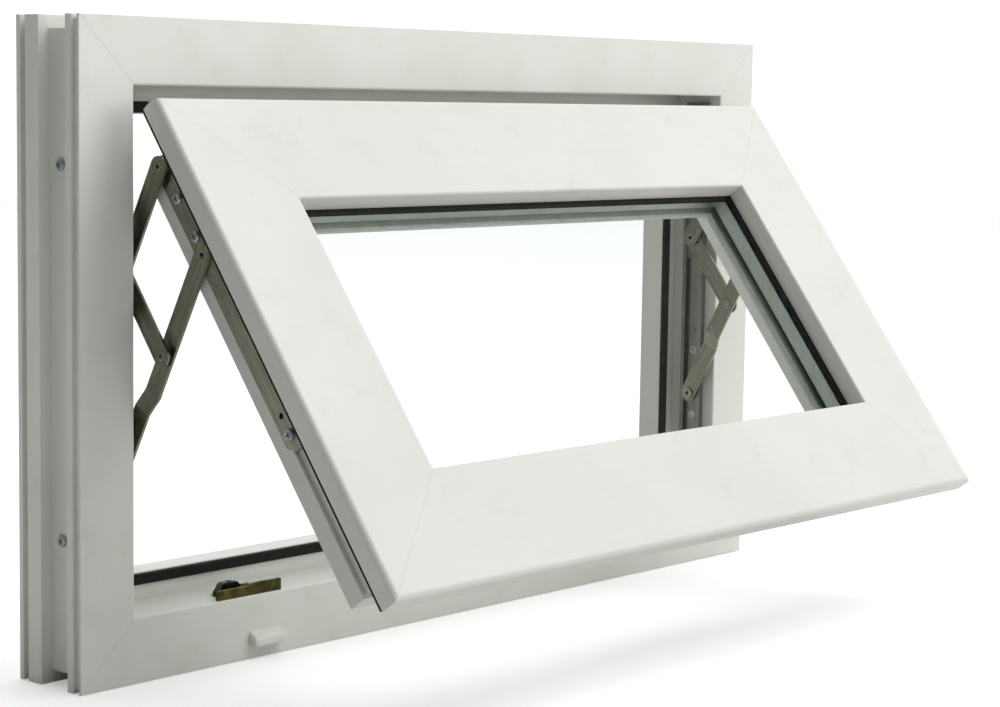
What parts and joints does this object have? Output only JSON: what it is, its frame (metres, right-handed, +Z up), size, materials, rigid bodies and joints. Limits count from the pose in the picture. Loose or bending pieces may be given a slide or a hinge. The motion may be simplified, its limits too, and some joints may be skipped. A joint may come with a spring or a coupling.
{
  "type": "window sash",
  "caption": "Top-hung outward-opening white plastic window: outer frame, open glazed sash on two friction stays, seals, lever lock and keeps.",
  "frame": {"origin": "middle of the sill's underside, in the plane of the frame's outside face", "axes": "+X to the right seen from outside, +Y into the building, +Z up"},
  "size_m": [0.704, 0.307, 0.43],
  "materials": {
    "white_upvc": "smooth extruded white plastic, satin gloss",
    "white_cap": "moulded white plastic",
    "white_enamel": "white powder coat on a zinc casting",
    "black_rubber": "soft black gasket rubber",
    "stainless_sheet": "brushed stainless sheet",
    "stainless_track": "brushed stainless sheet",
    "stainless_rivet": "turned stainless rivets",
    "zinc_screw": "bright zinc plating",
    "galvanised_steel": "galvanised sheet steel",
    "grey_polymer": "moulded grey polymer",
    "bronzed_brass": "dull olive-bronze plated casting",
    "clear_glass": "clear float glass",
    "spacer_aluminium": "mill aluminium",
    "dark_sealant": "dark edge sealant"
  },
  "bodies": {
    "frame": {"frame_sill": "white_upvc", "frame_head": "white_upvc", "frame_left_jamb": "white_upvc", "frame_right_jamb": "white_upvc", "frame_reinforcement": "galvanised_steel", "frame_seal": "black_rubber", "jamb_screws": "zinc_screw", "drain_cap": "white_cap", "left_stay_track": "stainless_track", "right_stay_track": "stainless_track", "left_stay_end_cap": "grey_polymer", "right_stay_end_cap": "grey_polymer", "track_screws": "zinc_screw", "left_fixed_pivot_rivet": "stainless_rivet", "right_fixed_pivot_rivet": "stainless_rivet", "left_keep": "bronzed_brass", "right_keep": "bronzed_brass", "keep_screws": "zinc_screw"},
    "sash": {"sash_bottom_rail": "white_upvc", "sash_top_rail": "white_upvc", "sash_left_stile": "white_upvc", "sash_right_stile": "white_upvc", "glazing_bead_bottom": "white_upvc", "glazing_bead_top": "white_upvc", "glazing_bead_left": "white_upvc", "glazing_bead_right": "white_upvc", "sash_reinforcement": "galvanised_steel", "flange_seal": "black_rubber", "outer_pane": "clear_glass", "inner_pane": "clear_glass", "spacer_bar": "spacer_aluminium", "edge_sealant": "dark_sealant", "outer_glazing_gasket": "black_rubber", "inner_glazing_gasket": "black_rubber", "glazing_packers": "grey_polymer", "left_sash_arm": "stainless_sheet", "right_sash_arm": "stainless_sheet", "sash_arm_rivets": "stainless_rivet", "sash_arm_screws": "zinc_screw", "lock_gearbox": "galvanised_steel", "lock_faceplate": "galvanised_steel", "lock_faceplate_screws": "zinc_screw", "handle_base": "white_enamel", "handle_screws": "zinc_screw"},
    "left_long_arm": {"left_long_arm": "stainless_sheet", "left_middle_pivot_rivet": "stainless_rivet"},
    "left_strut": {"left_strut": "stainless_sheet"},
    "left_shoe": {"left_friction_shoe": "grey_polymer", "left_shoe_rivet": "stainless_rivet"},
    "left_top_arm": {"left_top_arm": "stainless_sheet"},
    "right_long_arm": {"right_long_arm": "stainless_sheet", "right_middle_pivot_rivet": "stainless_rivet"},
    "right_strut": {"right_strut": "stainless_sheet"},
    "right_shoe": {"right_friction_shoe": "grey_polymer", "right_shoe_rivet": "stainless_rivet"},
    "right_top_arm": {"right_top_arm": "stainless_sheet"},
    "handle": {"handle_lever": "white_enamel", "handle_spindle": "galvanised_steel", "lock_pinion": "galvanised_steel"},
    "lock_bar": {"lock_bar": "galvanised_steel"}
  },
  "joints": [
    {"name": "left_long_arm_swing", "type": "hinge", "parent": "frame", "child": "left_long_arm", "pos_m": [-0.301, 0.021, 0.1383], "axis": [1, 0, 0], "range_deg": [-27.62, 7.47]},
    {"name": "sash_swing", "type": "hinge", "parent": "left_long_arm", "child": "sash", "pos_m": [-0.298, -0.05408, 0.28185], "axis": [-1, 0, 0], "range_deg": [-64.61, 17.46]},
    {"name": "left_strut_swing", "type": "hinge", "parent": "left_long_arm", "child": "left_strut", "pos_m": [-0.302, -0.01932, 0.21539], "axis": [-1, 0, 0], "range_deg": [-64.63, 17.48]},
    {"name": "left_shoe_turn", "type": "hinge", "parent": "left_strut", "child": "left_shoe", "pos_m": [-0.305, 0.021, 0.2689], "axis": [1, 0, 0], "range_deg": [-37.02, 10.02]},
    {"name": "left_top_arm_swing", "type": "hinge", "parent": "sash", "child": "left_top_arm", "pos_m": [-0.3, -0.01376, 0.33536], "axis": [1, 0, 0], "range_deg": [-64.63, 17.48]},
    {"name": "right_long_arm_swing", "type": "hinge", "parent": "frame", "child": "right_long_arm", "pos_m": [0.301, 0.021, 0.1383], "axis": [1, 0, 0], "range_deg": [-27.62, 7.47]},
    {"name": "right_strut_swing", "type": "hinge", "parent": "right_long_arm", "child": "right_strut", "pos_m": [0.302, -0.01932, 0.21539], "axis": [-1, 0, 0], "range_deg": [-64.63, 17.48]},
    {"name": "right_shoe_turn", "type": "hinge", "parent": "right_strut", "child": "right_shoe", "pos_m": [0.305, 0.021, 0.2689], "axis": [1, 0, 0], "range_deg": [-37.02, 10.02]},
    {"name": "right_top_arm_swing", "type": "hinge", "parent": "sash", "child": "right_top_arm", "pos_m": [0.3, -0.01376, 0.33536], "axis": [1, 0, 0], "range_deg": [-64.63, 17.48]},
    {"name": "handle_turn", "type": "hinge", "parent": "sash", "child": "handle", "pos_m": [0, -0.17345, 0.09105], "axis": [0, -0.7986, 0.6018], "range_deg": [0, 90]},
    {"name": "lock_bar_slide", "type": "slide", "parent": "sash", "child": "lock_bar", "axis": [1, 0, 0], "range_m": [0, 0.02]}
  ],
  "couplings": [
    {"joint": "left_long_arm_swing", "follows": "sash_swing", "ratio": 0.42734},
    {"joint": "right_long_arm_swing", "follows": "sash_swing", "ratio": 0.42734},
    {"joint": "left_strut_swing", "follows": "sash_swing", "ratio": 1},
    {"joint": "right_strut_swing", "follows": "sash_swing", "ratio": 1},
    {"joint": "left_shoe_turn", "follows": "sash_swing", "ratio": 0.57266},
    {"joint": "right_shoe_turn", "follows": "sash_swing", "ratio": 0.57266},
    {"joint": "left_top_arm_swing", "follows": "sash_swing", "ratio": 1},
    {"joint": "right_top_arm_swing", "follows": "sash_swing", "ratio": 1},
    {"joint": "lock_bar_slide", "follows": "handle_turn", "m_per_rad": 0.012732}
  ]
}
